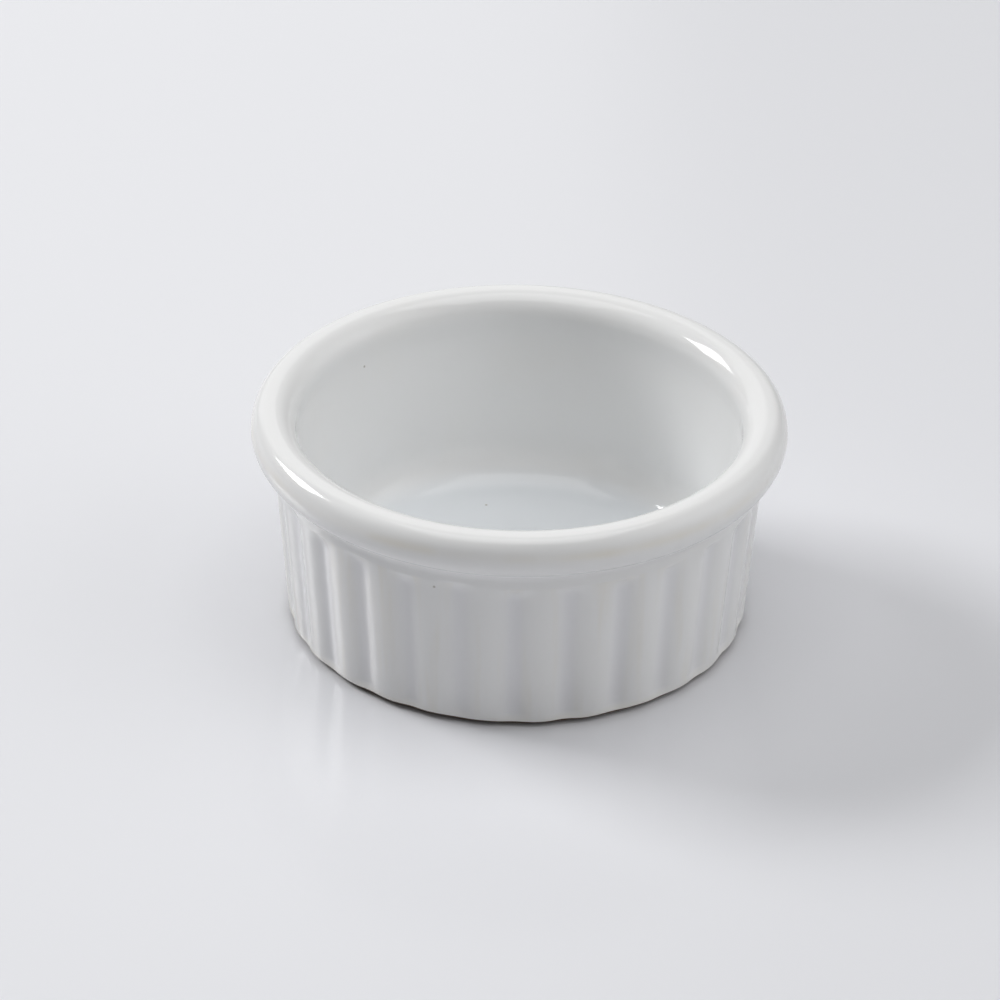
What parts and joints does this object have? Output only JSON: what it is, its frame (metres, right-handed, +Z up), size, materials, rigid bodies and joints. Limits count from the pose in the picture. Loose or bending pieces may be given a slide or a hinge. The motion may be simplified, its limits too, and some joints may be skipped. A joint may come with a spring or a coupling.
{
  "type": "ramekin",
  "caption": "Small round fluted ramekin in white-glazed ceramic, with a rolled rim, a plain collar, a drafted cavity and a bare clay foot ring.",
  "frame": {"origin": "centre of the foot ring's standing face, which is the middle of the bottom of the bounding box", "axes": "+Z up along the axis of the dish, out of its mouth; a valley between two flutes lies in the -Y direction, which is the side the picture shows"},
  "size_m": [0.0806, 0.0806, 0.0347],
  "materials": {
    "bare_clay": "fired and unglazed, fine grained, matt",
    "white_glaze": "gloss white, slightly warm where it runs thin under the rim and on the flute crests",
    "base_glaze": "gloss white, wiped back from the foot ring"
  },
  "bodies": {
    "root": {"clay_body": "bare_clay", "glaze_coat": "white_glaze", "base_glaze": "base_glaze"}
  },
  "joints": []
}
